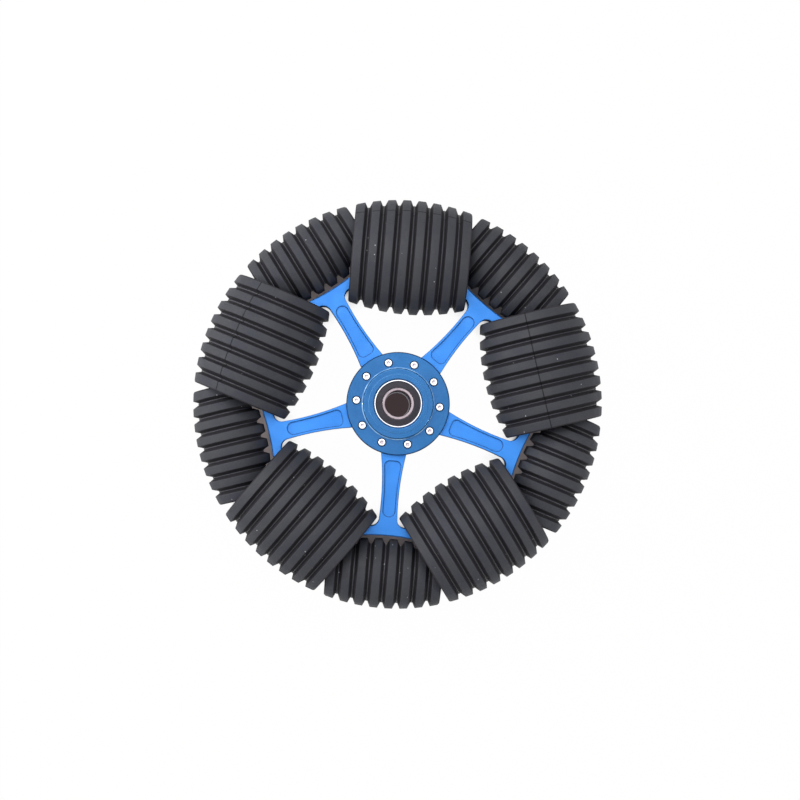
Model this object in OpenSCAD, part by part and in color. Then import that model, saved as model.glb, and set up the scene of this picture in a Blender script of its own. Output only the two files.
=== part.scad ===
// Omni wheel: large and small ribbed rollers take turns round a star of two plates.
// The ends of the small rollers run inside the hollow ends of the large ones.
// The wheel turns about Z, and the origin is at its centre, midway between its two faces.

/* [Wheel] */
// Diameter of the wheel over the crowns of its rollers
wheel_d = 400; // [398:1:408]

/* [Ribs of the tyres] */
// Width of a rib at its tip
rib_tip_w = 7.4; // [7:0.1:8]
// Depth of the grooves between ribs
rib_depth = 5.5; // [4:0.1:6]
// Width of a rib's sloping side
rib_flank_w = 2.6; // [2:0.1:3]
// Distance from rib to rib, before whole ribs are fitted to a tyre's length
rib_spacing = 14.8; // [13.5:0.1:16]
// Width of the chamfer at the two ends of a tyre
tyre_end_chamfer = 1.5; // [0.5:0.1:2]

/* [Large rollers] */
// Radius of a large roller at its crown
large_r = 56; // [55:0.5:57]
// Gap between the end of a large roller and the waist of the arm beside it
arm_gap = 2.2; // [1.8:0.1:3]
// Least distance along the wheel's edge from a large roller's end to a small roller's
roller_gap = 7; // [5:0.5:10]
// Thickness of the rubber at a large roller's crown
large_rubber_t = 16; // [15:0.5:18]
// Thickness of the rubber at a large roller's end
large_tyre_lip = 3.5; // [3:0.1:4]
// Thickness of the core's wall at a large roller's end
large_core_lip = 2.5; // [2:0.1:3]
// Half width of the web between the two hollow ends
large_web_half = 21.6; // [20:0.1:22.5]
// Radius of a hollow end at the web
large_floor_r = 22; // [20:0.5:24]
// Diameter of a large roller's axle
large_axle_d = 10; // [8:0.5:11]
// Length of axle held in each horn of the star
large_seat_len = 8.7; // [7:0.1:9.5]

/* [Small rollers] */
// Radius of a small roller at its crown
small_r = 34; // [33:0.5:35]
// Distance from the middle of a horn's end out to the face of the lug on it
lug_offset = 0.3; // [0.1:0.1:1]
// Thickness of the rubber at a small roller's crown
small_rubber_t = 15; // [14:0.5:18]
// Diameter of a small roller's axle
small_axle_d = 8; // [6:0.5:10]
// Length of axle held in each lug of the star
small_seat_len = 5; // [4:0.1:6]

/* [Roller bushes] */
// Length of a bush without its flange
bush_len = 16; // [12:0.5:18]
// Wall of a bush
bush_wall = 3; // [2:0.1:4]
// Thickness of a bush's flange
bush_flange_t = 1.2; // [1:0.1:1.6]
// Height of a bush's flange over the bush
bush_flange_h = 3; // [2:0.1:4]

/* [Star] */
// Thickness of one star plate
plate_t = 12; // [11:0.5:13]
// Half width of an arm at its waist
arm_half_w = 8.3; // [7.5:0.1:9.5]
// Radius of the long curve along an arm's side
arm_side_r = 276; // [250:1:340]
// Distance from the wheel's centre to an arm's waist
arm_waist_y = 95; // [90:1:100]
// Width of a foot in the direction of its arm
foot_w = 8.3; // [7.5:0.1:9.5]
// Gap between a foot and the crown of its small roller
foot_gap = 3.1; // [2.5:0.1:3.5]
// Radius of the fillet between an arm and its foot
foot_fillet_r = 8; // [5:0.5:9]
// Width of the chamfer along a foot's outer edge
foot_chamfer = 0.8; // [0.3:0.1:1.2]
// Radius of the fillet between an arm and the star's ring
ring_fillet_r = 5; // [3:0.5:7]
// Distance that the star's ring stays inside the edge of the hub flange
ring_inset = 1; // [0.5:0.1:2]
// Width of the rim round the pocket in an arm
pocket_rim = 2.4; // [2:0.1:3]
// Depth of the pocket in an arm
pocket_depth = 2.5; // [1:0.1:4]
// Distance from the edge of the hub flange to the pocket
pocket_inner_margin = 5.5; // [3:0.5:8]
// Distance from the foot's outer edge to the pocket
pocket_outer_margin = 18.5; // [17:0.5:22]
// Radius of the corners at the pocket's inner end
pocket_corner_r = 5; // [3:0.5:6]
// Wall between the large axle and the side of its horn
horn_wall = 3; // [2.5:0.1:3.5]
// Wall that closes the end of each axle seat
seat_end_wall = 1.5; // [1:0.1:2.5]
// Radius of the round end of a lug
lug_r = 10; // [8:0.5:11]

/* [Hub] */
// Thickness of a hub flange
flange_t = 6; // [5:0.1:8]
// Width of the flange outside its circle of bolts
flange_margin = 9.7; // [8.5:0.1:11]
// Width of the chamfer at the edge of a flange
flange_chamfer = 0.8; // [0.3:0.1:1.5]
// Wall of the boss round its bearing
boss_wall = 10.7; // [10:0.1:11.5]
// Radius of the fillet at the foot of the boss
boss_fillet_r = 1; // [0.5:0.1:1.5]
// Width of the chamfer at the top of the boss
boss_chamfer = 0.8; // [0.5:0.1:2]
// Wall of the raised rim on top of the boss
rim_wall = 5.1; // [4:0.1:6]
// Height of that rim
rim_h = 0.5; // [0.2:0.1:1]
// Width of the gap between a bearing's edge and its rim
rim_gap = 0.9; // [0.5:0.1:1.2]
// Depth of that gap
rim_gap_depth = 2.5; // [1:0.1:3]
// Wall of the spigot that centres the flange in its star plate
spigot_wall = 4.5; // [3:0.1:5.5]
// Depth of that spigot
spigot_h = 5; // [3:0.1:8]
// Width of the shoulder that a bearing rests against
shoulder_w = 3; // [2:0.1:3.5]
// Distance from a bearing's face to the top of its rim
bearing_recess = 0.5; // [0.3:0.1:1]
// Distance from the flange's inner face to the bearing
bearing_lift = 1.5; // [1:0.1:4]

/* [Bearings] */
// Diameter of the wheel's bore
bore_d = 25; // [24:0.1:26]
// Outer diameter of a bearing
bearing_d = 47; // [46.5:0.1:48]
// Width of a bearing
bearing_w = 12; // [11.6:0.1:14]
// Diameter of a ball, as a share of the difference between the bearing's outer diameter and bore
ball_share = 0.36; // [0.33:0.01:0.37]
// Number of balls in a bearing
ball_count = 10; // [8:1:11]
// Width of the edge chamfers on the bearing rings
ring_chamfer = 0.6; // [0.3:0.1:0.8]
// Thickness of a bearing's seals
seal_t = 0.7; // [0.5:0.1:0.8]
// Depth of a seal below the bearing's face
seal_recess = 0.3; // [0.2:0.1:0.5]

/* [Hub bolts] */
// Distance from the boss to the circle of bolts
bolt_offset = 6.4; // [6.2:0.1:8]
// Diameter of a bolt
bolt_d = 4; // [3:0.5:5]
// Diameter of a bolt's head
bolt_head_d = 7; // [6.8:0.1:8]
// Height of a bolt's head
bolt_head_h = 4; // [3:0.1:5]
// Width across the flats of the socket in a head
socket_af = 3; // [2:0.5:4]
// Depth of the recess round a head
counterbore_depth = 2.5; // [1:0.1:4]
// Width across the flats of a nut
nut_af = 7; // [6.5:0.1:8]
// Height of a nut's hexagon
nut_h = 3.2; // [2:0.1:4]
// Height of the locking collar on a nut
nut_collar_h = 1.8; // [1:0.1:2]

/* [Hidden] */
// Large rollers, small rollers and arms each stand five times round the wheel.
pairs = 5;
// Clearances: a piece seated in another, a turning fit, and a piece beside a turning one
seat_gap = 0.02;
turn_gap = 0.05;
end_gap = 0.3;
bolt_hole_gap = 0.2;
head_gap = 1.3;
cage_gap = 0.15;
// Least width of the cage beside a ball
cage_edge = 0.5;
// How far a cutting solid stands out of the face that it cuts
cut = 1;
// How far a fillet's circle dips into the round edge that it meets
fillet_sink = 0.02;
$fn = 96;

wheel_r = wheel_d / 2;
half_step = 180 / pairs;

large_axis_r = wheel_r - large_r;
small_axis_r = wheel_r - small_r;
large_axle_r = large_axle_d / 2;
small_axle_r = small_axle_d / 2;

// Radius of a tyre's rib tips at distance x from its middle: together they make the wheel round.
function tip_r(axis_r, x) = sqrt(wheel_r ^ 2 - x ^ 2) - axis_r;
function ribbed_len(len) = len - rib_tip_w - 2 * tyre_end_chamfer;
function rib_gaps(len) = round(ribbed_len(len) / rib_spacing);
function rib_pitch(len) = ribbed_len(len) / rib_gaps(len);

// Along a large axle, the horn starts beside the bush. Along a small one, the lug does.
horn_start = large_web_half + bush_flange_t + end_gap;
large_axle_half = horn_start + large_seat_len;
horn_end = large_axle_half + seat_end_wall;
horn_half_w = large_axle_r + horn_wall;
horn_mid = beside_arm(large_axis_r, horn_end);
lug_start = horn_mid.x + lug_offset;
small_len = 2 * (lug_start - end_gap - bush_flange_t);
small_axle_half = lug_start + small_seat_len;
lug_end = small_axle_half + seat_end_wall;

// A large roller ends where its crown comes near an arm's waist or a small roller's end. The
// first of these lies on the wheel's circle mirrored in the large roller's axle.
arm_side_x = 2 * large_axis_r * sin(half_step) - arm_half_w - arm_gap;
small_end_angle = asin(small_len / wheel_d);
large_end_angle = min(
    asin(arm_side_x / wheel_r) - half_step,
    half_step - small_end_angle - asin(roller_gap / wheel_r)
);
large_len = wheel_d * sin(large_end_angle);
large_core_r = large_r - large_rubber_t;
small_core_r = small_r - small_rubber_t;
large_lip_r = tip_r(large_axis_r, large_len / 2) - large_tyre_lip;
large_mouth_r = large_lip_r - large_core_lip;
// The core flares outwards from the last groove to the roller's end.
large_flare_x = large_len / 2 - tyre_end_chamfer - rib_tip_w - rib_flank_w;

bore_r = bore_d / 2;
bearing_r = bearing_d / 2;
boss_r = bearing_r + boss_wall;
rim_r = bearing_r + rim_wall;
spigot_r = bearing_r + spigot_wall;
bolt_circle_r = boss_r + bolt_offset;
flange_r = bolt_circle_r + flange_margin;

foot_outer_y = 2 * small_axis_r - wheel_r - foot_gap;
foot_inner_y = foot_outer_y - foot_w;
ring_r = flange_r - ring_inset;

bearing_z = plate_t + bearing_lift;
bearing_mid_z = bearing_z + bearing_w / 2;
flange_z = plate_t + flange_t;
rim_z = bearing_z + bearing_w + bearing_recess;
boss_z = rim_z - rim_h;
seal_inner_z = bearing_w / 2 - seal_recess - seal_t;
cage_half_w = seal_inner_z - end_gap;
ball_room = cage_half_w - cage_edge - cage_gap;
ball_r = min(ball_share * (bearing_r - bore_r), ball_room);
ball_circle_r = (bore_r + bearing_r) / 2;
groove_r = ball_r + turn_gap;
inner_ring_r = ball_circle_r - 0.62 * ball_r;
outer_ring_r = ball_circle_r + 0.65 * ball_r;
inner_face_r = (bore_r + inner_ring_r) / 2 + 1;
outer_face_r = (bearing_r + outer_ring_r) / 2;
cage_half_t = 0.35 * ball_r;

// ---- places ----

// Turns something drawn at +Y to the place of large roller i.
module at_large(i) {
    rotate([0, 0, 2 * half_step * (i - 1)])
        children();
}

// Turns something drawn at +Y to the place of small roller i, which is that of arm i too.
module at_small(i) {
    rotate([0, 0, 2 * half_step * (i - 1) + half_step])
        children();
}

// Lays something drawn round Z along a roller's axle at +Y.
module along_axle(axis_r) {
    translate([0, axis_r, 0])
        rotate([0, 90, 0])
            children();
}

// Draws its children in front as they are, and mirrored at the back.
module at_back() {
    mirror([0, 0, 1])
        children();
}

// A point beside a large roller, given from the wheel's centre and along that roller's axle,
// as seen from the arm next to it when that arm points along +Y.
function beside_arm(radial, along) = [
    sin(half_step) * radial - cos(half_step) * along,
    cos(half_step) * radial + sin(half_step) * along
];

// ---- tyres ----

// Outline of the ribs from one end of a tyre to the other, as [radius, distance along the axle].
function rib_outline(axis_r, len) = [
    for (i = [0:rib_gaps(len)])
        let (
            middle = (i - rib_gaps(len) / 2) * rib_pitch(len),
            tip = rib_tip_w / 2,
            base = tip + rib_flank_w,
            end_r = tip_r(axis_r, len / 2) - tyre_end_chamfer / 2
        )
        each [
            i == 0
                ? [end_r, -len / 2]
                : [tip_r(axis_r, middle - base) - rib_depth, middle - base],
            [tip_r(axis_r, middle - tip), middle - tip],
            [tip_r(axis_r, middle + tip), middle + tip],
            i == rib_gaps(len)
                ? [end_r, len / 2]
                : [tip_r(axis_r, middle + base) - rib_depth, middle + base]
        ]
];

large_core_outline = [
    [large_lip_r, large_len / 2],
    [large_core_r, large_flare_x],
    [large_core_r, -large_flare_x],
    [large_lip_r, -large_len / 2]
];

module large_tyre() {
    color([0.24, 0.25, 0.28])
        along_axle(large_axis_r)
            rotate_extrude()
                polygon(concat(rib_outline(large_axis_r, large_len), large_core_outline));
}

module small_tyre() {
    color([0.24, 0.25, 0.28])
        along_axle(small_axis_r)
            rotate_extrude()
                polygon(concat(
                    rib_outline(small_axis_r, small_len),
                    [[small_core_r, small_len / 2], [small_core_r, -small_len / 2]]
                ));
}

// ---- cores, bushes and axles ----

// Outline of the bore through a core, from its lower face to its upper one: a seat for a bush
// at each end and more room between them.
function core_bore(axle_r, half_len) =
    let (
        seat = axle_r + bush_wall + seat_gap,
        room = axle_r + bush_wall / 2
    )
    [
        [seat, -half_len],
        [seat, bush_len - half_len],
        [room, bush_len - half_len],
        [room, half_len - bush_len],
        [seat, half_len - bush_len],
        [seat, half_len]
    ];

module large_core() {
    color([0.16, 0.16, 0.17])
        along_axle(large_axis_r)
            rotate_extrude()
                polygon(concat(
                    [[large_mouth_r, -large_len / 2], [large_floor_r, -large_web_half]],
                    core_bore(large_axle_r, large_web_half),
                    [[large_floor_r, large_web_half], [large_mouth_r, large_len / 2]],
                    large_core_outline
                ));
}

module small_core() {
    color([0.16, 0.16, 0.17])
        along_axle(small_axis_r)
            rotate_extrude()
                polygon(concat(
                    core_bore(small_axle_r, small_len / 2),
                    [[small_core_r, small_len / 2], [small_core_r, -small_len / 2]]
                ));
}

// The two flanged bushes of a roller, whose flanges lie on the faces at half_len.
module bush_pair(axle_r, half_len) {
    inner = axle_r + turn_gap;
    outer = axle_r + bush_wall;
    for (side = [0, 1])
        mirror([0, 0, side])
            rotate_extrude()
                polygon([
                    [inner, half_len - bush_len],
                    [outer, half_len - bush_len],
                    [outer, half_len],
                    [outer + bush_flange_h, half_len],
                    [outer + bush_flange_h, half_len + bush_flange_t],
                    [inner, half_len + bush_flange_t]
                ]);
}

module large_bushes() {
    color([0.78, 0.72, 0.55])
        along_axle(large_axis_r)
            bush_pair(large_axle_r, large_web_half);
}

module small_bushes() {
    color([0.78, 0.72, 0.55])
        along_axle(small_axis_r)
            bush_pair(small_axle_r, small_len / 2);
}

// A plain round pin with chamfered ends.
module axle_pin(radius, half_len) {
    chamfer = radius / 8;
    rotate_extrude()
        polygon([
            [0, -half_len],
            [radius - chamfer, -half_len],
            [radius, chamfer - half_len],
            [radius, half_len - chamfer],
            [radius - chamfer, half_len],
            [0, half_len]
        ]);
}

module large_axle() {
    color([0.72, 0.73, 0.75])
        along_axle(large_axis_r)
            axle_pin(large_axle_r, large_axle_half);
}

module small_axle() {
    color([0.72, 0.73, 0.75])
        along_axle(small_axis_r)
            axle_pin(small_axle_r, small_axle_half);
}

// ---- star ----

// Half width of an arm at distance y from the wheel's centre.
function arm_half(y) = arm_half_w + arm_side_r - sqrt(arm_side_r ^ 2 - (arm_waist_y - y) ^ 2);

// Strip along an arm from y0 to y1, whose sides lie inset from the arm's own.
module arm_strip(y0, y1, inset) {
    difference() {
        translate([-arm_half(0), y0])
            square([2 * arm_half(0), y1 - y0]);
        for (side = [-1, 1])
            translate([side * (arm_half_w + arm_side_r), arm_waist_y])
                circle(arm_side_r + inset, $fn = 360);
    }
}

// The room that a small roller turns in, in the plane of the plates.
module small_roller_room() {
    intersection() {
        translate([0, 2 * small_axis_r])
            circle(wheel_r + foot_gap, $fn = 360);
        translate([-lug_start, foot_inner_y])
            square([2 * lug_start, wheel_r]);
    }
}

// Curved band of a foot's width that carries the two lugs, however the wheel's size changes.
module lug_base() {
    intersection() {
        translate([0, 2 * small_axis_r])
            circle(wheel_r + foot_gap + foot_w, $fn = 360);
        translate([-lug_end, foot_inner_y])
            square([2 * lug_end, horn_mid.y - foot_inner_y]);
    }
}

// What the chamfer along a foot's outer edge takes away, round the same centre.
module foot_chamfer_room() {
    intersection() {
        translate([0, 2 * small_axis_r, plate_t - foot_chamfer])
            cylinder(r1 = wheel_r + foot_gap, r2 = wheel_r + foot_gap + foot_chamfer + cut,
                     h = foot_chamfer + cut, $fn = 360);
        translate([-lug_start, foot_inner_y, 0])
            cube([2 * lug_start, wheel_r, plate_t + 2 * cut]);
    }
}

// Foot of an arm with the horns that reach into the two large rollers beside it.
module foot_plan() {
    horn_near = beside_arm(large_axis_r - horn_half_w, horn_start);
    horn_far = beside_arm(large_axis_r + horn_half_w, horn_start);
    horn_tip = beside_arm(large_axis_r + horn_half_w, horn_end);
    knee_x = 0.65 * horn_near.x;
    difference() {
        union() {
            lug_base();
            for (side = [0, 1])
                mirror([side, 0])
                    polygon([
                        [-cut, foot_inner_y],
                        [knee_x, foot_inner_y],
                        horn_near,
                        horn_far,
                        horn_tip,
                        [lug_start, horn_tip.y],
                        [-cut, horn_tip.y]
                    ]);
        }
        small_roller_room();
    }
}

// One arm with its fillets, from the star's ring to its foot.
module arm_plan() {
    arm_strip(0, foot_inner_y + cut, 0);
    ring_fillet_x = arm_half(ring_r + ring_fillet_r) + ring_fillet_r;
    ring_fillet_y = sqrt((ring_r + ring_fillet_r - fillet_sink) ^ 2 - ring_fillet_x ^ 2);
    foot_fillet_x = arm_half(foot_inner_y - foot_fillet_r) + foot_fillet_r;
    for (side = [0, 1])
        mirror([side, 0]) {
            difference() {
                polygon([
                    [0, 0],
                    [ring_fillet_x, ring_fillet_y],
                    [0, ring_fillet_y]
                ]);
                translate([ring_fillet_x, ring_fillet_y])
                    circle(ring_fillet_r);
            }
            difference() {
                translate([0, foot_inner_y - foot_fillet_r])
                    square([foot_fillet_x, foot_fillet_r + cut]);
                translate([foot_fillet_x, foot_inner_y - foot_fillet_r])
                    circle(foot_fillet_r);
            }
        }
}

// Outline of the pocket milled in an arm: round at the foot, with two corners at the hub.
module pocket_plan() {
    top_y = foot_outer_y - pocket_outer_margin - arm_half_w + pocket_rim;
    top_r = arm_half(top_y) - pocket_rim;
    low_y = flange_r + pocket_inner_margin;
    corner_y = low_y + pocket_corner_r;
    corner_x = arm_half(corner_y) - pocket_rim - pocket_corner_r;
    arm_strip(corner_y, top_y, pocket_rim);
    translate([0, top_y])
        circle(top_r);
    translate([-corner_x, low_y])
        square([2 * corner_x, pocket_corner_r + cut]);
    for (side = [-1, 1])
        translate([side * corner_x, corner_y])
            circle(pocket_corner_r);
}

// Lug at one end of a foot that stands beside a small roller's end and holds its axle.
module axle_lug() {
    translate([lug_start, horn_mid.y - cut, 0])
        cube([lug_end - lug_start, small_axis_r - horn_mid.y + cut, lug_r]);
    intersection() {
        translate([lug_start, small_axis_r, 0])
            rotate([0, 90, 0])
                cylinder(r = lug_r, h = lug_end - lug_start);
        translate([lug_start - cut, 0, 0])
            cube([lug_end - lug_start + 2 * cut, 2 * small_axis_r, lug_r + cut]);
    }
}

// Half of the star, from the split plane at Z = 0 up to its face.
module star_half() {
    difference() {
        union() {
            linear_extrude(plate_t) {
                circle(ring_r);
                for (i = [1:pairs])
                    at_small(i) {
                        arm_plan();
                        foot_plan();
                    }
            }
            for (i = [1:pairs])
                at_small(i)
                    for (side = [0, 1])
                        mirror([side, 0, 0])
                            axle_lug();
        }
        translate([0, 0, -cut])
            cylinder(r = spigot_r + seat_gap, h = plate_t + 2 * cut);
        translate([0, 0, plate_t - pocket_depth])
            linear_extrude(pocket_depth + cut)
                for (i = [1:pairs])
                    at_small(i)
                        pocket_plan();
        for (i = [1:pairs]) {
            at_small(i)
                foot_chamfer_room();
            at_large(i)
                along_axle(large_axis_r)
                    cylinder(r = large_axle_r + seat_gap, h = 2 * large_axle_half + 2 * seat_gap,
                             center = true);
            at_small(i)
                along_axle(small_axis_r)
                    cylinder(r = small_axle_r + seat_gap, h = 2 * small_axle_half + 2 * seat_gap,
                             center = true);
        }
        bolt_holes(-cut, plate_t + cut);
    }
}

module star_front() {
    color([0.27, 0.59, 0.97])
        star_half();
}

module star_back() {
    color([0.27, 0.59, 0.97])
        at_back()
            star_half();
}

// ---- hub ----

// Repeats its children at each bolt of the hub, between the arms.
module at_bolts() {
    for (i = [1:2 * pairs])
        rotate([0, 0, half_step * i])
            translate([bolt_circle_r, 0, 0])
                children();
}

module bolt_holes(z0, z1) {
    at_bolts()
        translate([0, 0, z0])
            cylinder(r = bolt_d / 2 + bolt_hole_gap, h = z1 - z0, $fn = 48);
}

// Flange with its boss and spigot. The bearing's seat opens at the top of the boss.
module hub_flange() {
    difference() {
        rotate_extrude()
            difference() {
                union() {
                    polygon([
                        [bearing_r - shoulder_w, plate_t - spigot_h],
                        [spigot_r, plate_t - spigot_h],
                        [spigot_r, plate_t],
                        [flange_r, plate_t],
                        [flange_r, flange_z - flange_chamfer],
                        [flange_r - flange_chamfer, flange_z],
                        [boss_r, flange_z],
                        [boss_r, boss_z - boss_chamfer],
                        [boss_r - boss_chamfer, boss_z],
                        [rim_r, boss_z],
                        [rim_r, rim_z],
                        [bearing_r - shoulder_w, rim_z]
                    ]);
                    difference() {
                        translate([boss_r - cut, flange_z - cut])
                            square([boss_fillet_r + cut, boss_fillet_r + cut]);
                        translate([boss_r + boss_fillet_r, flange_z + boss_fillet_r])
                            circle(boss_fillet_r);
                    }
                }
                translate([0, bearing_z])
                    square([bearing_r + seat_gap, bearing_w + bearing_recess + cut]);
                translate([0, rim_z - rim_gap_depth])
                    square([bearing_r + rim_gap, rim_gap_depth + cut]);
            }
        bolt_holes(0, flange_z + cut);
        at_bolts()
            translate([0, 0, flange_z - counterbore_depth])
                cylinder(d = bolt_head_d + head_gap, h = counterbore_depth + cut, $fn = 48);
    }
}

module hub_flange_front() {
    color([0.2, 0.49, 0.8])
        hub_flange();
}

module hub_flange_back() {
    color([0.2, 0.49, 0.8])
        at_back()
            hub_flange();
}

// Socket head bolts through both flanges and both plates, with their heads in front.
module hub_bolts() {
    head_z = flange_z - counterbore_depth;
    nut_end_z = -head_z - nut_h - nut_collar_h;
    color([0.85, 0.86, 0.87])
        at_bolts() {
            difference() {
                translate([0, 0, head_z])
                    cylinder(d = bolt_head_d, h = bolt_head_h, $fn = 48);
                translate([0, 0, head_z + bolt_head_h / 2])
                    cylinder(d = socket_af / cos(30), h = bolt_head_h, $fn = 6);
            }
            translate([0, 0, nut_end_z - bolt_d / 4])
                cylinder(d = bolt_d, h = head_z - nut_end_z + bolt_d / 4, $fn = 48);
        }
}

module hub_nuts() {
    color([0.85, 0.86, 0.87])
        at_back()
            at_bolts()
                translate([0, 0, flange_z - counterbore_depth])
                    difference() {
                        union() {
                            cylinder(d = nut_af, h = nut_h, $fn = 6);
                            cylinder(d = nut_af * 0.8, h = nut_h + nut_collar_h, $fn = 48);
                        }
                        translate([0, 0, -cut])
                            cylinder(r = bolt_d / 2 + seat_gap, h = nut_h + nut_collar_h + 2 * cut,
                                     $fn = 48);
                    }
}

// ---- bearings ----

// Puts a bearing drawn round its own middle into its place in the front hub flange.
module at_bearing() {
    translate([0, 0, bearing_mid_z])
        children();
}

module outer_ring() {
    half_w = bearing_w / 2;
    rotate_extrude()
        difference() {
            polygon([
                [outer_ring_r, -seal_inner_z],
                [outer_face_r, -seal_inner_z],
                [outer_face_r, -half_w],
                [bearing_r - ring_chamfer, -half_w],
                [bearing_r, ring_chamfer - half_w],
                [bearing_r, half_w - ring_chamfer],
                [bearing_r - ring_chamfer, half_w],
                [outer_face_r, half_w],
                [outer_face_r, seal_inner_z],
                [outer_ring_r, seal_inner_z]
            ]);
            translate([ball_circle_r, 0])
                circle(groove_r);
        }
}

module inner_ring() {
    half_w = bearing_w / 2;
    rotate_extrude()
        difference() {
            polygon([
                [bore_r, ring_chamfer - half_w],
                [bore_r + ring_chamfer, -half_w],
                [inner_face_r, -half_w],
                [inner_face_r, -cage_half_w],
                [inner_ring_r, -cage_half_w],
                [inner_ring_r, cage_half_w],
                [inner_face_r, cage_half_w],
                [inner_face_r, half_w],
                [bore_r + ring_chamfer, half_w],
                [bore_r, half_w - ring_chamfer]
            ]);
            translate([ball_circle_r, 0])
                circle(groove_r);
        }
}

module bearing_balls() {
    for (i = [1:ball_count])
        rotate([0, 0, 360 / ball_count * i])
            translate([ball_circle_r, 0, 0])
                sphere(ball_r, $fn = 48);
}

module ball_cage() {
    difference() {
        rotate_extrude()
            translate([ball_circle_r - cage_half_t, -cage_half_w])
                square([2 * cage_half_t, 2 * cage_half_w]);
        for (i = [1:ball_count])
            rotate([0, 0, 360 / ball_count * i])
                rotate([0, 90, 0])
                    cylinder(r = ball_r + cage_gap, h = bearing_r, $fn = 48);
    }
}

module bearing_seals() {
    for (side = [0, 1])
        mirror([0, 0, side])
            rotate_extrude()
                translate([inner_face_r + end_gap, seal_inner_z])
                    square([outer_face_r - inner_face_r - end_gap, seal_t]);
}

module outer_ring_front() {
    color([0.8, 0.78, 0.78])
        at_bearing()
            outer_ring();
}

module outer_ring_back() {
    at_back()
        outer_ring_front();
}

module inner_ring_front() {
    color([0.8, 0.78, 0.78])
        at_bearing()
            inner_ring();
}

module inner_ring_back() {
    at_back()
        inner_ring_front();
}

module bearing_balls_front() {
    color([0.85, 0.85, 0.86])
        at_bearing()
            bearing_balls();
}

module bearing_balls_back() {
    at_back()
        bearing_balls_front();
}

module ball_cage_front() {
    color([0.7, 0.65, 0.5])
        at_bearing()
            ball_cage();
}

module ball_cage_back() {
    at_back()
        ball_cage_front();
}

module bearing_seals_front() {
    color([0.13, 0.13, 0.14])
        at_bearing()
            bearing_seals();
}

module bearing_seals_back() {
    at_back()
        bearing_seals_front();
}

// Tube that keeps the two inner rings apart.
module race_spacer() {
    color([0.72, 0.73, 0.75])
        rotate_extrude()
            translate([bore_r, -bearing_z])
                square([inner_face_r - bore_r, 2 * bearing_z]);
}

// ---- assembly ----

star_front();
star_back();
hub_flange_front();
hub_flange_back();
hub_bolts();
hub_nuts();
outer_ring_front();
outer_ring_back();
inner_ring_front();
inner_ring_back();
race_spacer();
bearing_balls_front();
bearing_balls_back();
ball_cage_front();
ball_cage_back();
bearing_seals_front();
bearing_seals_back();
for (i = [1:pairs]) {
    at_large(i) large_tyre();
    at_large(i) large_core();
    at_large(i) large_bushes();
    at_large(i) large_axle();
    at_small(i) small_tyre();
    at_small(i) small_core();
    at_small(i) small_bushes();
    at_small(i) small_axle();
}
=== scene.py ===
"""Omni wheel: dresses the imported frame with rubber, anodised metal and polished steel.

Everything is in metres, in the frame of the part: +Z is the wheel's axis, and the origin is its
centre. Sizes that repeat the construction are written in millimetres and go through MM.
"""
import math

import bmesh
import bpy
from mathutils import Matrix, Vector

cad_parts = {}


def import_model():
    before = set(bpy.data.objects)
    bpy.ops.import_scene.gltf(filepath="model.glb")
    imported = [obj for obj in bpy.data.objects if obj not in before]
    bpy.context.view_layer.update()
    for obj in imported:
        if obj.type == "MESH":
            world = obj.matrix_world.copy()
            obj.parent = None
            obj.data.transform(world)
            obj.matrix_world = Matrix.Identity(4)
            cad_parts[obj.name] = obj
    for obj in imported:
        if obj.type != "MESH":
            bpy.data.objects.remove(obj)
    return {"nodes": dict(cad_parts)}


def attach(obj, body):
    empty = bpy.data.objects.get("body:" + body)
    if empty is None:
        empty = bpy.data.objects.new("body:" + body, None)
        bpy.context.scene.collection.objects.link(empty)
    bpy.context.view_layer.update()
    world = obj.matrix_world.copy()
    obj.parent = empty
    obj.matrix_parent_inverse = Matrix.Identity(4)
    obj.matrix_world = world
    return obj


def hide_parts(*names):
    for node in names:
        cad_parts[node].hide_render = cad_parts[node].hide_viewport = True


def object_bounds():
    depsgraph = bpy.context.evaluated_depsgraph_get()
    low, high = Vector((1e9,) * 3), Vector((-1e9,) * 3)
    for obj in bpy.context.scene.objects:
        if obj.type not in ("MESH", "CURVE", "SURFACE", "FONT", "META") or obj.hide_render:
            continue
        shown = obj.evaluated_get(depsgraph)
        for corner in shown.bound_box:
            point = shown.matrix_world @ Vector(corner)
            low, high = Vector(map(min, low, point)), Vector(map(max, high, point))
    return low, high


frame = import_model()
cad_low, cad_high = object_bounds()
nodes = frame["nodes"]

MM = 0.001
PAIRS = range(1, 6)

# The construction's own sizes, in millimetres
WHEEL_R = 200.0
RIBS = 8
RIB_TIP, RIB_FLANK, RIB_DEPTH, END_CHAMFER = 7.4, 2.6, 5.5, 1.5
LARGE = dict(r=56.0, length=113.96, core_r=40.0, lip=3.5, angle=90.0)
SMALL = dict(r=34.0, length=113.0, core_r=19.0, lip=None, angle=126.0)
FLARE_X = LARGE["length"] / 2 - END_CHAMFER - RIB_TIP - RIB_FLANK
BORE_R, BOSS_R, BOLT_CIRCLE_R, FLANGE_R = 12.5, 34.2, 40.6, 50.3
BOLT_STEP = math.radians(36.0)
BOLT_PLACES = [(BOLT_CIRCLE_R * math.cos(BOLT_STEP * i), BOLT_CIRCLE_R * math.sin(BOLT_STEP * i))
               for i in range(10)]
# Middle height of a bearing, and the heights that a bolt's head and thread run between
BEARING_Z = 19.5
HEAD_BASE, HEAD_TOP, THREAD_TOP, THREAD_END = 15.5, 19.5, -10.2, -21.5

# Fine forms that only the scene has: the bead in a groove, by half its widths and its height, and
# the height of a moulding seam
BEAD_FOOT, BEAD_TOP, BEAD_H, SEAM_H = 0.42, 0.22, 0.3, 0.22
# How far each tyre is turned: the angle of its moulding seam, from outwards to upwards
LARGE_SEAMS = (41.0, 62.0, 14.0, -4.0, 97.6)
SMALL_SEAMS = (4.0, -12.0, 8.0, -3.0, 15.0)


# ---------------------------------------------------------------- node helpers

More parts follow.
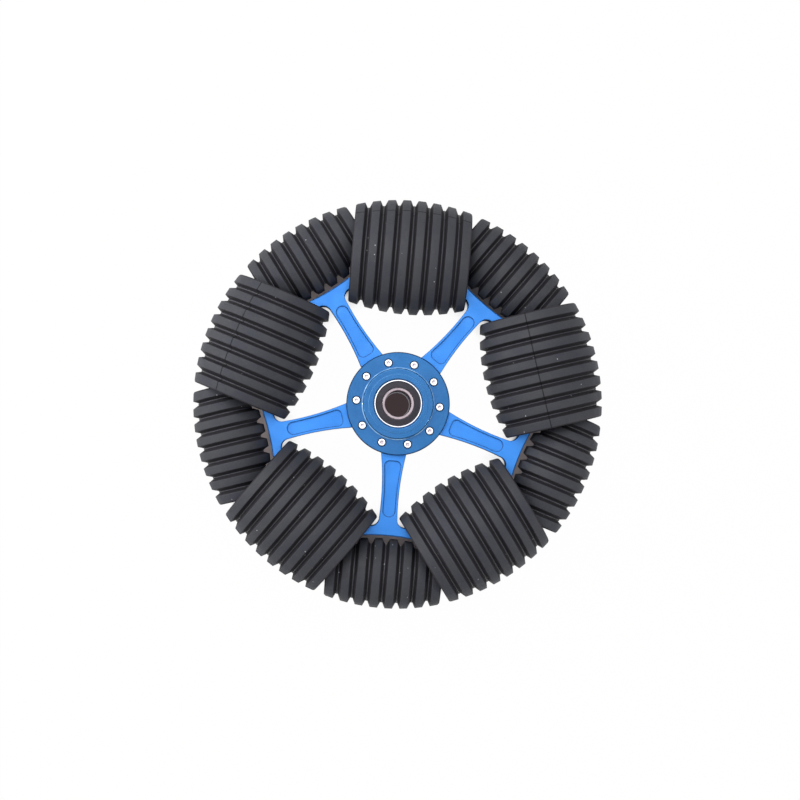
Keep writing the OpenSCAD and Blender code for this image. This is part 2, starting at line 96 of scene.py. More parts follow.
class Nodes:
    """A small helper that builds a material's node tree."""

    def __init__(self, name):
        self.material = bpy.data.materials.new(name)
        self.material.use_nodes = True
        self.tree = self.material.node_tree
        self.tree.nodes.clear()
        self.out = self.add("ShaderNodeOutputMaterial")

    def add(self, kind, **values):
        node = self.tree.nodes.new(kind)
        for key, value in values.items():
            setattr(node, key, value)
        return node

    def link(self, source, target):
        self.tree.links.new(source, target)

    def coord(self):
        return self.add("ShaderNodeTexCoord").outputs["Object"]

    def noise(self, scale, detail=3.0, rough=0.5, vector=None):
        node = self.add("ShaderNodeTexNoise")
        node.inputs["Scale"].default_value = scale
        node.inputs["Detail"].default_value = detail
        node.inputs["Roughness"].default_value = rough
        self.link(vector or self.coord(), node.inputs["Vector"])
        return node.outputs["Fac"]

    def map(self, source, low, high, to_low=0.0, to_high=1.0):
        node = self.add("ShaderNodeMapRange")
        node.inputs["From Min"].default_value = low
        node.inputs["From Max"].default_value = high
        node.inputs["To Min"].default_value = to_low
        node.inputs["To Max"].default_value = to_high
        self.link(source, node.inputs["Value"])
        return node.outputs["Result"]

    def math(self, operation, a, b=None):
        node = self.add("ShaderNodeMath", operation=operation)
        for value, socket in ((a, node.inputs[0]), (b, node.inputs[1])):
            if value is None:
                continue
            if isinstance(value, (int, float)):
                socket.default_value = value
            else:
                self.link(value, socket)
        return node.outputs[0]

    def mix(self, factor, a, b):
        node = self.add("ShaderNodeMix", data_type="RGBA")
        for value, socket in ((factor, node.inputs[0]), (a, node.inputs[6]), (b, node.inputs[7])):
            if isinstance(value, (int, float)):
                socket.default_value = value
            elif isinstance(value, tuple):
                socket.default_value = (*value, 1.0)
            else:
                self.link(value, socket)
        return node.outputs[2]

    def mix_value(self, share, low, high):
        """Goes from the value low to the number high."""
        mix = self.add("ShaderNodeMix")
        self.link(share, mix.inputs["Factor"])
        self.link(low, mix.inputs["A"])
        mix.inputs["B"].default_value = high
        return mix.outputs["Result"]

    def attribute(self, name):
        return self.add("ShaderNodeAttribute", attribute_name=name).outputs["Fac"]

    def edges(self, radius):
        """1 along the edges of the form and 0 on its faces, from the bevelled normal."""
        bevel = self.add("ShaderNodeBevel", samples=6)
        bevel.inputs["Radius"].default_value = radius
        dot = self.add("ShaderNodeVectorMath", operation="DOT_PRODUCT")
        self.link(bevel.outputs[0], dot.inputs[0])
        self.link(self.add("ShaderNodeNewGeometry").outputs["Normal"], dot.inputs[1])
        return self.map(dot.outputs["Value"], 1.0, 0.86), bevel.outputs[0]

    def bolt_distance(self):
        """How far a point lies from the axis of the nearest hub bolt."""
        xyz = self.add("ShaderNodeSeparateXYZ")
        self.link(self.coord(), xyz.inputs[0])
        angle = self.math("ARCTAN2", xyz.outputs[1], xyz.outputs[0])
        nearest = self.math("ROUND", self.math("DIVIDE", angle, BOLT_STEP))
        fold = self.math("SUBTRACT", angle, self.math("MULTIPLY", BOLT_STEP, nearest))
        radius, circle = self.radius(), BOLT_CIRCLE_R * MM
        across = self.math("MULTIPLY", self.math("MULTIPLY", radius, 2 * circle),
                           self.math("COSINE", fold))
        square = self.math("SUBTRACT", self.math("ADD", self.math("MULTIPLY", radius, radius),
                                                 circle ** 2), across)
        return self.math("SQRT", self.math("MAXIMUM", square, 0.0))

    def leaning(self, side, normal):
        """The normal, leaning away from the wheel's middle plane where side is 1, as on a wall
        with a rough cut."""
        xyz = self.add("ShaderNodeSeparateXYZ")
        self.link(self.coord(), xyz.inputs[0])
        lean = self.add("ShaderNodeCombineXYZ")
        self.link(self.math("MULTIPLY", self.math("SIGN", xyz.outputs[2]),
                            self.math("MULTIPLY", side, 0.22)), lean.inputs[2])
        total = self.add("ShaderNodeVectorMath", operation="ADD")
        self.link(normal, total.inputs[0])
        self.link(lean.outputs[0], total.inputs[1])
        unit = self.add("ShaderNodeVectorMath", operation="NORMALIZE")
        self.link(total.outputs[0], unit.inputs[0])
        return unit.outputs[0]

    def bump(self, height, distance, strength=1.0, normal=None):
        node = self.add("ShaderNodeBump")
        node.inputs["Strength"].default_value = strength
        node.inputs["Distance"].default_value = distance
        self.link(height, node.inputs["Height"])
        if normal is not None:
            self.link(normal, node.inputs["Normal"])
        return node.outputs["Normal"]

    def radius(self):
        """Distance from the wheel's axis."""
        xyz = self.add("ShaderNodeSeparateXYZ")
        self.link(self.coord(), xyz.inputs[0])
        return self.math("SQRT", self.math("ADD", self.math("POWER", xyz.outputs[0], 2.0),
                                           self.math("POWER", xyz.outputs[1], 2.0)))

    def fade(self, start, end, share=1.0):
        """Goes from 0 to share between two distances from the wheel's axis, in millimetres."""
        return self.map(self.radius(), start * MM, end * MM, 0.0, share)

    def ring(self, middle, outer, inner):
        """A thin ring round the wheel's axis: 1 within inner of its middle, 0 beyond outer."""
        off = self.math("ABSOLUTE", self.math("SUBTRACT", self.radius(), middle * MM))
        return self.map(off, outer * MM, inner * MM)

    def rings(self, scale):
        """Fine turning marks: noise that depends only on the distance from the wheel's axis."""
        combine = self.add("ShaderNodeCombineXYZ")
        self.link(self.radius(), combine.inputs[0])
        return self.noise(scale, 3.0, 0.7, combine.outputs[0])

    def shader(self, colour, roughness, normal=None, metallic=0.0, anisotropic=0.0, specular=0.5):
        """The surface itself. Turned metal is anisotropic round the wheel's axis."""
        node = self.add("ShaderNodeBsdfPrincipled")
        for key, value in (("Base Color", colour), ("Roughness", roughness),
                           ("Metallic", metallic)):
            if isinstance(value, tuple):
                node.inputs[key].default_value = (*value, 1.0)
            elif isinstance(value, (int, float)):
                node.inputs[key].default_value = value
            else:
                self.link(value, node.inputs[key])
        node.inputs["IOR"].default_value = 1.5
        node.inputs["Specular IOR Level"].default_value = specular
        node.inputs["Anisotropic"].default_value = anisotropic
        if normal is not None:
            self.link(normal, node.inputs["Normal"])
        if anisotropic:
            tangent = self.add("ShaderNodeTangent", direction_type="RADIAL", axis="Z")
            self.link(tangent.outputs[0], node.inputs["Tangent"])
        self.link(node.outputs[0], self.out.inputs["Surface"])


def seen_directly(tree):
    """1 for camera, glossy and transmission rays."""
    path = tree.nodes.new("ShaderNodeLightPath")
    seen = path.outputs["Is Camera Ray"]
    for name in ("Is Glossy Ray", "Is Transmission Ray"):
        either = tree.nodes.new("ShaderNodeMath")
        either.operation = "MAXIMUM"
        tree.links.new(seen, either.inputs[0])
        tree.links.new(path.outputs[name], either.inputs[1])
        seen = either.outputs[0]
    return seen


def srgb(r, g, b):
    """Linear colour of an 8-bit display colour."""
    def one(v):
        v /= 255.0
        return v / 12.92 if v <= 0.04045 else ((v + 0.055) / 1.055) ** 2.4
    return (one(r), one(g), one(b))


# ---------------------------------------------------------------- materials

def rubber_material():
    """Moulded rubber. The tyres' meshes say where a tip, a groove's bead or a seam is."""
    m = Nodes("ribbed_rubber")
    crown, bead, seam = m.attribute("crown"), m.attribute("bead"), m.attribute("seam")
    cloud = m.noise(26.0, 4.0, 0.6)
    grain = m.noise(900.0, 3.0, 0.6)
    tip = m.mix(m.map(cloud, 0.35, 0.68), srgb(55, 57, 66), srgb(63, 64, 68))
    tip = m.mix(m.map(grain, 0.3, 0.7, 0.0, 0.35), tip, srgb(78, 78, 82))
    scuff = m.map(m.noise(140.0, 5.0, 0.7), 0.5, 0.72, 0.0, 0.3)
    tip = m.mix(scuff, tip, srgb(74, 73, 74))
    # Painted shade on the flanks, darker than the tips; a painted highlight on the bead in each
    # groove; and dark moulding seams
    flank_shade = m.mix(m.map(grain, 0.3, 0.7), srgb(38, 37, 41), srgb(48, 46, 50))
    # Painted shade: the flanks take the darker flank colour, the tips the lighter tip colour
    base = m.mix(crown, flank_shade, tip)
    # Painted highlight: the bead in each groove is pale
    base = m.mix(m.math("MULTIPLY", bead, 0.7), base, srgb(100, 102, 112))
    base = m.mix(m.math("MULTIPLY", seam, 0.85), base, srgb(10, 10, 12))
    # White dust specks, in a few of the cells only
    dust = m.add("ShaderNodeTexVoronoi", feature="F1")
    dust.inputs["Scale"].default_value = 120.0
    m.link(m.coord(), dust.inputs["Vector"])
    speck = m.map(dust.outputs["Distance"], 0.075, 0.045)
    pick = m.add("ShaderNodeSeparateColor")
    m.link(dust.outputs["Color"], pick.inputs[0])
    speck = m.math("MULTIPLY", speck, m.map(pick.outputs[0], 0.7, 0.705))
    base = m.mix(m.math("MULTIPLY", speck, 0.8), base, srgb(205, 205, 208))
    rough = m.map(m.noise(60.0, 3.0), 0.3, 0.7, 0.52, 0.66)
    rough = m.math("SUBTRACT", rough, m.math("MULTIPLY", bead, 0.25))
    normal = m.bump(m.noise(1400.0, 4.0, 0.65), 0.00025, 0.5)
    normal = m.bump(m.noise(55.0, 2.0), 0.0012, 0.35, normal)
    m.shader(base, rough, normal, specular=0.2)
    return m.material


def core_material():
    """Dark moulded plastic with paler edges."""
    m = Nodes("moulded_core")
    base = m.mix(m.map(m.noise(90.0, 4.0), 0.35, 0.7), srgb(40, 40, 43), srgb(62, 60, 61))
    edge, normal = m.edges(0.0006)
    base = m.mix(m.math("MULTIPLY", edge, 0.4), base, srgb(90, 88, 88))
    normal = m.bump(m.noise(700.0, 3.0), 0.0002, 0.4, normal)
    m.shader(base, m.map(m.noise(40.0), 0.3, 0.7, 0.42, 0.58), normal)
    return m.material


def blue_material(name, face, shade, edge_colour, grain_scale, edge_w, turned=0.0):
    """Anodised blue metal with a fine grain and rough cut sides. Painted shade darkens its edges
    and
    sides. A turned piece also has turning marks, and the hub's painted shade and highlight:
    see hub_marks."""
    m = Nodes(name)
    base = m.mix(m.map(m.noise(22.0, 3.0, 0.55), 0.3, 0.7), face, shade)
    grain = m.noise(grain_scale, 3.0, 0.6)
    bright = tuple(min(1.0, v * 1.35 + 0.02) for v in face)
    base = m.mix(m.map(grain, 0.35, 0.75, 0.0, 0.18), base, bright)
    edge, soft = m.edges(edge_w)
    if turned:
        # Painted highlight on the edges at the boss, and painted shade on the edges of the flange
        on_flange = m.fade(BOSS_R + 1.8, BOSS_R + 3.3)
        edge_colour = m.mix(on_flange, srgb(96, 164, 226), edge_colour)
    # Painted shade along the edges, in edge_colour; at the boss it is a painted highlight instead
    base = m.mix(m.math("MULTIPLY", edge, 0.85), base, edge_colour)
    # Sides are cut rough; painted shade makes them darker than the faces
    xyz = m.add("ShaderNodeSeparateXYZ")
    m.link(m.add("ShaderNodeTexCoord").outputs["Normal"], xyz.inputs[0])
    side = m.map(m.math("ABSOLUTE", xyz.outputs[2]), 0.5, 0.1)
    base = m.mix(m.math("MULTIPLY", side, 0.62), base, edge_colour)
    scratch = m.add("ShaderNodeMapping")
    scratch.inputs["Scale"].default_value = (1.0, 9.0, 1.0)
    m.link(m.coord(), scratch.inputs["Vector"])
    marks = m.map(m.noise(160.0, 6.0, 0.75, scratch.outputs[0]), 0.66, 0.74)
    base = m.mix(m.math("MULTIPLY", marks, 0.12), base, srgb(150, 195, 250))
    rough = m.map(m.noise(75.0, 4.0), 0.3, 0.7, 0.30, 0.42)
    rough = m.math("ADD", rough, m.math("MULTIPLY", side, 0.5))
    normal = m.bump(grain, 0.00012, 0.35, m.leaning(side, soft))
    if turned:
        rough = m.mix_value(m.ring(BOSS_R + 0.1, 1.4, 1.0), rough, 0.1)
        base = hub_marks(m, base)
        lines = m.rings(turned)
        normal = m.bump(lines, 0.00006, 0.8, normal)
        base = m.mix(m.map(lines, 0.5, 0.8, 0.0, 0.16), base, srgb(120, 178, 236))
    m.shader(base, rough, normal, metallic=0.3, specular=0.4, anisotropic=0.65 if turned else 0.0)
    return m.material


def hub_marks(m, base):
    """Painted shade: dark rings round the bolts and along the flange's edge. Painted highlight: a
    light line round the boss, broken up by noise.
    """
    # Painted shade: a dark ring round each bolt
    bolt_shade = m.map(m.bolt_distance(), 4.3 * MM, 3.6 * MM, 0.0, 0.85)
    base = m.mix(bolt_shade, base, srgb(4, 30, 64))
    # Painted shade along the flange's outer edge
    base = m.mix(m.fade(FLANGE_R - 1.1, FLANGE_R - 0.5, 0.85), base, srgb(4, 36, 76))
    # Painted highlight: a light line round the boss's edge, broken up by noise
    highlight_breakup = m.map(m.noise(70.0, 2.0), 0.42, 0.6, 0.2, 0.95)
    line = m.ring(BOSS_R + 0.6, 0.55, 0.2)
    return m.mix(m.math("MULTIPLY", line, highlight_breakup), base, srgb(176, 216, 248))


def steel_material(name, light, dark, rough_low, rough_high, turned=0.0):
    """Bright steel. Turned pieces get fine rings round the wheel's axis."""
    m = Nodes(name)
    base = m.mix(m.map(m.noise(120.0, 3.0), 0.3, 0.7), light, dark)
    fine = m.rings(turned) if turned else m.noise(900.0, 3.0, 0.6)
    base = m.mix(m.map(fine, 0.35, 0.7, 0.0, 0.3), base, dark)
    _, normal = m.edges(0.0003)
    rough = m.map(fine, 0.3, 0.7, rough_low, rough_high)
    normal = m.bump(fine, 0.00005, 0.4, normal)
    m.shader(base, rough, normal, metallic=1.0, anisotropic=0.3 if turned else 0.0)
    return m.material


def seal_material():
    """Matt black rubber with a fine grain."""
    m = Nodes("bearing_seal")
    base = m.mix(m.map(m.noise(260.0, 4.0), 0.35, 0.7), srgb(36, 34, 43), srgb(47, 45, 54))
    base = m.mix(m.map(m.noise(1500.0, 2.0), 0.5, 0.8, 0.0, 0.3), base, srgb(84, 78, 82))
    normal = m.bump(m.noise(1100.0, 3.0), 0.0002, 0.45)
    m.shader(base, m.map(m.noise(90.0), 0.3, 0.7, 0.5, 0.62), normal, specular=0.3)
    return m.material


def nylon_material():
    """The off-white ring of a lock nut."""
    m = Nodes("nut_nylon")
    base = m.mix(m.map(m.noise(400.0, 3.0), 0.35, 0.7), srgb(206, 208, 204), srgb(228, 229, 226))
    normal = m.bump(m.noise(1800.0, 2.0), 0.0001, 0.4)
    m.shader(base, m.map(m.noise(90.0), 0.3, 0.7, 0.35, 0.45), normal)
    return m.material


def bush_material():
    """Sintered bronze, for bushes and ball cages."""
    m = Nodes("sintered_bush")
    base = m.mix(m.map(m.noise(300.0, 4.0), 0.35, 0.7), srgb(176, 160, 122), srgb(200, 186, 150))
    normal = m.bump(m.noise(1600.0, 3.0), 0.0002, 0.4)
    m.shader(base, m.map(m.noise(80.0), 0.3, 0.7, 0.38, 0.5), normal, metallic=0.4)
    return m.material


# ---------------------------------------------------------------- tyres

def tip_r(axis_r, x):
    """Radius of a roller's crown at x along its axle: all tips reach the wheel's circle."""
    return math.sqrt(WHEEL_R ** 2 - x ** 2) - axis_r


def rounded(points):
    """Fillets a closed outline given as (r, x, tag, radius): each corner becomes a short arc.
    Beside a tip's corner, a step where the tag falls to 0 ends the tip's lighter tone; the flank's
    painted shade starts there."""
    out = []
    count = len(points)
    for k, (r, x, tag, radius) in enumerate(points):
        here = Vector((r, x))
        before = Vector(points[k - 1][:2]) - here
        after = Vector(points[(k + 1) % count][:2]) - here
        reach = min(radius, 0.42 * before.length, 0.42 * after.length)
        if reach < 0.05:
            out.append((r, x, tag))
            continue
        step = reach + 0.15
        if tag > 0.9 and points[k - 1][2] < 0.9:
            out.append((*(here + before.normalized() * step), 0.0))
        a, b = here + before.normalized() * reach, here + after.normalized() * reach
        for s in (0.0, 0.33, 0.67, 1.0):
            p = a * (1 - s) ** 2 + here * 2 * s * (1 - s) + b * s ** 2
            out.append((p.x, p.y, tag))
        if tag > 0.9 and points[(k + 1) % count][2] < 0.9:
            out.append((*(here + after.normalized() * step), 0.0))
    return out


def tyre_section(kind):
    """Outline of a tyre as (radius, distance along the axle, tag); the tag is 1 on the tips,
    0 on the flanks and -1 on the fine bead in the middle of each groove."""
    axis_r, length = WHEEL_R - kind["r"], kind["length"]
    pitch = (length - RIB_TIP - 2 * END_CHAMFER) / (RIBS - 1)
    points = []
    for i in range(RIBS):
        middle = (i - (RIBS - 1) / 2) * pitch
        tip, base = RIB_TIP / 2, RIB_TIP / 2 + RIB_FLANK
        end_r = tip_r(axis_r, length / 2) - END_CHAMFER / 2
        if i == 0:
            points.append((end_r, -length / 2, 0.5, 0.5))
        else:
            points.append((tip_r(axis_r, middle - base) - RIB_DEPTH, middle - base, 0.0, 0.4))
        points.append((tip_r(axis_r, middle - tip), middle - tip, 1.0, 0.45))
        points.append((tip_r(axis_r, middle + tip), middle + tip, 1.0, 0.45))
        if i == RIBS - 1:
            points.append((end_r, length / 2, 0.5, 0.5))
        else:
            low, gap = tip_r(axis_r, middle + base) - RIB_DEPTH, middle + pitch / 2
            points.append((low, middle + base, 0.0, 0.4))
            points += [(low, gap - BEAD_FOOT, 0.0, 0.0), (low + BEAD_H, gap - BEAD_TOP, -1.0, 0.0),
                       (low + BEAD_H, gap + BEAD_TOP, -1.0, 0.0), (low, gap + BEAD_FOOT, 0.0, 0.0)]
    if kind["lip"]:
        lip_r = tip_r(axis_r, length / 2) - kind["lip"]
        inner = [(lip_r, length / 2), (kind["core_r"], FLARE_X), (kind["core_r"], -FLARE_X),
                 (lip_r, -length / 2)]
    else:
        inner = [(kind["core_r"], length / 2), (kind["core_r"], -length / 2)]
    points += [(r, x, 0.0, 0.0) for r, x in inner]
    return rounded(points)


def tyre(kind, size, index, seams):
    """A moulded rubber tyre: the section turned round its axle, with two fine seam ridges."""
    section = tyre_section(kind)
    steps = 132
    ridge_form = ((-1.2, 0), (-0.7, 0), (-0.45, 1), (0.45, 1), (0.7, 0), (1.2, 0))
    angles = [(360.0 * k / steps, 0.0) for k in range(steps)]
    # The steps of a seam's ridge take the place of the plain ones beside it
    for seam in seams:
        angles = [a for a in angles if abs((a[0] - seam + 180) % 360 - 180) > 1.4]
        angles += [((seam + degrees) % 360, height) for degrees, height in ridge_form]
    angles.sort()
    azimuth = math.radians(kind["angle"] + 72.0 * (index - 1))
    out = Vector((math.cos(azimuth), math.sin(azimuth), 0.0))
    along = Vector((math.sin(azimuth), -math.cos(azimuth), 0.0))
    up = Vector((0.0, 0.0, 1.0))
    middle = out * (WHEEL_R - kind["r"])
    verts, crown, bead, seam_value = [], [], [], []
    for degrees, ridge in angles:
        t = math.radians(degrees)
        spoke = out * math.cos(t) + up * math.sin(t)
        for r, x, tag in section:
            lift = SEAM_H * ridge if tag > 0.9 else 0.0
            verts.append((middle + spoke * (r + lift) + along * x) * MM)
            crown.append(1.0 if tag > 0.9 else 0.0)
            bead.append(1.0 if tag < -0.5 else 0.0)
            seam_value.append(float(ridge))
    n, rings = len(section), len(angles)
    faces = [(a * n + b, a * n + (b + 1) % n,
              (a + 1) % rings * n + (b + 1) % n, (a + 1) % rings * n + b)
             for a in range(rings) for b in range(n)]
    mesh = bpy.data.meshes.new(f"{size}_rubber_{index}")
    mesh.from_pydata(verts, [], faces)
    mesh.validate()
    for key, values in (("crown", crown), ("bead", bead), ("seam", seam_value)):
        layer = mesh.attributes.new(key, "FLOAT", "POINT")
        layer.data.foreach_set("value", values)
    mesh.shade_smooth()
    mesh.set_sharp_from_angle(angle=math.radians(50))
    obj = bpy.data.objects.new(f"{size}_rubber_{index}", mesh)
    bpy.context.scene.collection.objects.link(obj)
    obj.data.materials.append(RUBBER)
    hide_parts(f"{size}_tyre_{index}")
    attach(obj, f"{size}_roller_{index}")


# ---------------------------------------------------------------- bolts, nuts and seals

def lathe(bm, levels, steps, place=(0.0, 0.0), closed=False, flip=False):
    """Adds a body turned round Z at place. Each level is (radius, z) or (radius, z, form), where
    form(angle) gives the radius a factor. Returns the new faces, level by level."""
    rows = []
    for level in levels:
        r, z = level[:2]
        form = level[2] if len(level) > 2 else None
        row = []
        for k in range(steps):
            t = 2 * math.pi * k / steps
            here = r * (form(t) if form else 1.0)
            row.append(bm.verts.new(((place[0] + here * math.cos(t)) * MM,
                                     (place[1] + here * math.sin(t)) * MM,
                                     (-z if flip else z) * MM)))
        rows.append(row)
    bands = []
    for a in range(len(rows) if closed else len(rows) - 1):
        low, high = rows[a], rows[(a + 1) % len(rows)]
        band = []
        for k in range(steps):
            n = (k + 1) % steps
            corners = (low[k], high[k], high[n], low[n])
            band.append(bm.faces.new(corners[::-1] if flip else corners))
        bands.append(band)
    return bands


def finish_piece(name, bm, materials, body, slot, *replaced):
    """Makes the piece from its mesh, hands it to the body and hides the nodes it stands for.
    The slot is not used.
    """
    bmesh.ops.remove_doubles(bm, verts=bm.verts, dist=1e-7)
    bmesh.ops.recalc_face_normals(bm, faces=bm.faces)
    mesh = bpy.data.meshes.new(name)
    bm.to_mesh(mesh)
    bm.free()
    mesh.shade_smooth()
    mesh.set_sharp_from_angle(angle=math.radians(28))
    obj = bpy.data.objects.new(name, mesh)
    bpy.context.scene.collection.objects.link(obj)
    for material in materials:
        obj.data.materials.append(material)
    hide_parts(*replaced)
    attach(obj, body)


def hexagon(t):
    """How far a hexagon's outline lies from its middle, as a factor of half its width."""
    return 1.0 / math.cos((t + math.pi / 6) % (math.pi / 3) - math.pi / 6)


def knurl(t):
    """The grip round a bolt's head: 30 shallow grooves, as a factor of its radius."""
    return 1.0 - 0.022 * (1 + math.cos(30 * t))


def thread(z0, z1, radius, pitch):
    """Levels of a row of thread crests from z0 down to z1."""
    root, end = radius - 0.32, radius - 0.6
    levels = []
    z = z0
    while z - pitch >= z1:
        levels += [(radius, z), (root, z - pitch / 2)]
        z -= pitch
    return levels + [(root, z1 + 0.25), (end, z1), (0.0, z1)]


def hub_bolts():
    """Knurled socket head bolts, with a thread at their far ends."""
    bm = bmesh.new()
    levels = [(0.0, 17.2), (1.5, 17.5, hexagon), (1.5, 19.32, hexagon), (1.85, HEAD_TOP),
              (3.0, HEAD_TOP), (3.22, 19.44), (3.38, 19.28), (3.5, 19.0, knurl),
              (3.5, 15.75, knurl), (3.36, 15.62), (3.36, HEAD_BASE), (2.0, HEAD_BASE), (2.0, -10.0)]
    levels += thread(THREAD_TOP, THREAD_END, 2.0, 0.7)
    for x, y in BOLT_PLACES:
        # Painted shade in the socket: its faces get the darker socket steel
        for band in lathe(bm, levels, 120, (x, y))[:3]:
            for face in band:
                face.material_index = 1
    finish_piece("socket_bolts", bm, [BOLT, SOCKET], "wheel", "bolt", "hub_bolts")


def hub_nuts():
    """Lock nuts: a chamfered hexagon and a collar that holds a nylon ring."""
    bm = bmesh.new()
    for x, y in BOLT_PLACES:
        bands = lathe(bm, [
            (2.02, 15.5), (3.25, 15.5), (3.5, 15.62, lambda t: min(hexagon(t), 1.06)),
            (3.5, 15.95, hexagon), (3.5, 18.2, hexagon),
            (3.5, 18.5, lambda t: min(hexagon(t), 1.07)), (3.1, 18.7), (2.8, 18.8), (2.8, 20.1),
            (2.68, 20.38), (2.5, 20.5), (2.42, 20.36), (2.1, 20.32), (2.02, 20.2)
        ], 72, (x, y), closed=True, flip=True)
        for band in bands[11:13]:
            for face in band:
                face.material_index = 1
    finish_piece("lock_nuts", bm, [BOLT, NYLON], "wheel", "bolt", "hub_nuts")


def bearing_seals(side, flip):
    """Both seals of a bearing: a moulded disc with a shallow channel inside its two beads."""
    bm = bmesh.new()
    disc = [(22.03, 5.0), (22.03, 5.6), (21.9, 5.68), (21.4, 5.7), (21.2, 5.66), (21.0, 5.5),
            (20.7, 5.48), (20.5, 5.56), (17.2, 5.56), (17.0, 5.62), (16.8, 5.7), (16.1, 5.7),
            (15.9, 5.64), (15.6, 5.52), (15.4, 5.48), (15.32, 5.4), (15.32, 5.0)]
    for turn in (1, -1):
        lathe(bm, [(r, BEARING_Z + turn * z) for r, z in disc], 144, closed=True, flip=flip)
    finish_piece(f"lip_seals_{side}", bm, [SEAL], "wheel", "seal", f"bearing_seals_{side}")


# ---------------------------------------------------------------- build

RUBBER = rubber_material()
CORE = core_material()
STAR = blue_material("star_blue", srgb(34, 122, 210), srgb(41, 129, 219), srgb(4, 34, 88),
                     900.0, 0.0012)
HUB = blue_material("hub_blue", srgb(4, 88, 148), srgb(12, 97, 159), srgb(4, 30, 64),
                    700.0, 0.0008, 2600.0)
BOLT = steel_material("bolt_steel", srgb(226, 228, 232), srgb(208, 204, 208), 0.22, 0.34)
RACE = steel_material("race_steel", srgb(202, 206, 212), srgb(180, 178, 184), 0.2, 0.32, 9000.0)
# Darker steel for the bolts' sockets: painted shade in the recess
SOCKET = steel_material("socket_steel", srgb(196, 188, 194), srgb(160, 148, 156), 0.3, 0.42)
# A darker copy of the race steel for the inner rings: painted shade
INNER = steel_material("inner_race_steel", srgb(148, 138, 143), srgb(124, 112, 118), 0.28, 0.42,
                       7000.0)
SPACER = steel_material("spacer_steel", srgb(120, 100, 94), srgb(92, 76, 72), 0.35, 0.5)
AXLE = steel_material("axle_steel", srgb(190, 190, 194), srgb(150, 150, 155), 0.25, 0.4)
SEAL = seal_material()
NYLON = nylon_material()
BUSH = bush_material()


def dress(material, *names):
    """Gives CAD nodes a material and leaves their form as it is."""
    for name in names:
        obj = nodes[name]
        obj.data.materials.clear()
        obj.data.materials.append(material)


dress(STAR, "star_front", "star_back")
dress(HUB, "hub_flange_front", "hub_flange_back")
dress(RACE, "outer_ring_front", "outer_ring_back")
dress(INNER, "inner_ring_front", "inner_ring_back")
dress(SPACER, "race_spacer")
dress(AXLE, "bearing_balls_front", "bearing_balls_back")
dress(BUSH, "ball_cage_front", "ball_cage_back")
hub_bolts()
hub_nuts()
bearing_seals("front", False)
bearing_seals("back", True)
for i in PAIRS:
    for size in ("large", "small"):
        dress(CORE, f"{size}_core_{i}")
        dress(BUSH, f"{size}_bushes_{i}")
        dress(AXLE, f"{size}_axle_{i}")
    tyre(LARGE, "large", i, (LARGE_SEAMS[i - 1], LARGE_SEAMS[i - 1] + 180.0))
    tyre(SMALL, "small", i, (SMALL_SEAMS[i - 1], SMALL_SEAMS[i - 1] + 180.0))


# ---------------------------------------------------------------- floor, light and camera

def floor():
    """A pale table. It is white to the eye and in reflections. Painted shade darkens it where it is
    enclosed, under the hub and the rollers, under the star's feet and down the bore.
    """
    z = cad_low.z
    mesh = bpy.data.meshes.new("table")
    reach = 6.0
    corners = [(-reach, -reach, z), (reach, -reach, z), (reach, reach, z), (-reach, reach, z)]
    mesh.from_pydata(corners, [], [(0, 1, 2, 3)])
    obj = bpy.data.objects.new("table", mesh)
    bpy.context.scene.collection.objects.link(obj)
    m = Nodes("table_white")
    diffuse = m.add("ShaderNodeBsdfDiffuse")
    glow = m.add("ShaderNodeEmission")
    glow.inputs["Strength"].default_value = 1.0
    closed = m.add("ShaderNodeAmbientOcclusion", samples=40)
    closed.inputs["Distance"].default_value = 0.06
    # Painted shade: the white glow fades out under the hub, under the rollers and where the table
    # is enclosed; it stays between the hub and the rollers and outside the wheel
    beyond_hub = m.fade(20, 45)
    beside_rollers = m.math("MAXIMUM", m.fade(128, 120), m.fade(186, 194))
    lit = m.math("MULTIPLY", m.math("MULTIPLY", beyond_hub, beside_rollers),
                 m.map(closed.outputs["AO"], 0.22, 0.36))
    # Painted shade: under the star's feet the table is a darker brownish colour
    feet_shade = m.math("MULTIPLY", m.fade(115, 125), m.fade(165, 155))
    m.link(m.mix(feet_shade, (0.86, 0.85, 0.84), (0.66, 0.56, 0.53)), diffuse.inputs["Color"])
    # Painted shade: down the bore the table glows dark brown instead of white
    bore_shade = m.fade(BORE_R + 0.3, BORE_R - 0.3)
    m.link(m.mix(bore_shade, (1.0, 1.0, 1.0), srgb(64, 53, 55)), glow.inputs["Color"])
    share = m.math("MULTIPLY", seen_directly(m.tree),
                   m.math("MAXIMUM", m.math("MULTIPLY", lit, 0.985), bore_shade))
    mix = m.add("ShaderNodeMixShader")
    m.link(share, mix.inputs[0])
    m.link(diffuse.outputs[0], mix.inputs[1])
    m.link(glow.outputs[0], mix.inputs[2])
    m.link(mix.outputs[0], m.out.inputs["Surface"])
    obj.data.materials.append(m.material)


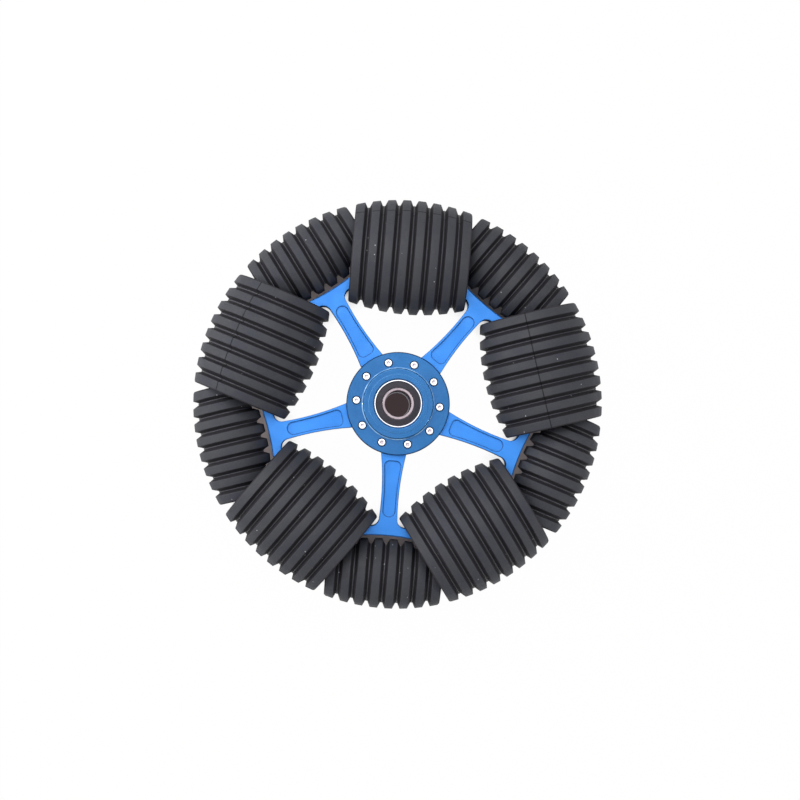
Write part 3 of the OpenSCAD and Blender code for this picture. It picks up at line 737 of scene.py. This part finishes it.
def lamp(name, place, width, height, power):
    """A soft lamp that faces the wheel's centre."""
    light = bpy.data.lights.new(name, "AREA")
    light.shape = "ELLIPSE"
    light.size, light.size_y = width, height
    light.energy = power
    obj = bpy.data.objects.new(name, light)
    bpy.context.scene.collection.objects.link(obj)
    obj.location = place
    obj.rotation_euler = (-Vector(place)).to_track_quat("-Z", "Y").to_euler()


def world(ambient):
    """White to the eye and in reflections, and a soft ambient light on everything else."""
    w = bpy.data.worlds.new("studio")
    bpy.context.scene.world = w
    w.use_nodes = True
    tree = w.node_tree
    background = tree.nodes["Background"]
    background.inputs["Color"].default_value = (1.0, 1.0, 1.0, 1.0)
    strength = tree.nodes.new("ShaderNodeMapRange")
    strength.inputs["To Min"].default_value = ambient
    strength.inputs["To Max"].default_value = 1.0
    tree.links.new(seen_directly(tree), strength.inputs["Value"])
    tree.links.new(strength.outputs["Result"], background.inputs["Strength"])


def camera():
    """Looks down on the wheel from 2.2 m, leaning 1.5 degrees."""
    distance = 2.2
    tilt, towards, roll = math.radians(1.5), math.radians(233.0), math.radians(4.83)
    right = Vector((math.cos(roll), math.sin(roll), 0.0))
    up = Vector((-math.sin(roll), math.cos(roll), 0.0))
    back = Vector((math.sin(tilt) * math.cos(towards), math.sin(tilt) * math.sin(towards),
                   math.cos(tilt)))
    right = (right - back * right.dot(back)).normalized()
    up = back.cross(right)
    data = bpy.data.cameras.new("camera")
    data.lens = 101.06
    data.sensor_width = 36.0
    data.clip_start, data.clip_end = 0.05, 50.0
    obj = bpy.data.objects.new("camera", data)
    bpy.context.scene.collection.objects.link(obj)
    aim = right * 0.0022 + up * 0.00396
    turn = Matrix((right, up, back)).transposed().to_4x4()
    obj.matrix_world = Matrix.Translation(aim + back * distance) @ turn
    bpy.context.scene.camera = obj


floor()
world(0.35)
lamp("key", (-0.42, 0.78, 2.08), 2.4, 2.4, 36.0)
lamp("rim", (-1.95, 0.7, 0.6), 1.1, 1.1, 14.0)
lamp("left_edge", (-1.48, -0.2, 0.66), 0.14, 0.045, 6.0)
lamp("right_edge", (1.38, -0.6, 0.66), 0.1, 0.045, 4.0)
camera()
bpy.context.scene.view_settings.view_transform = "Standard"
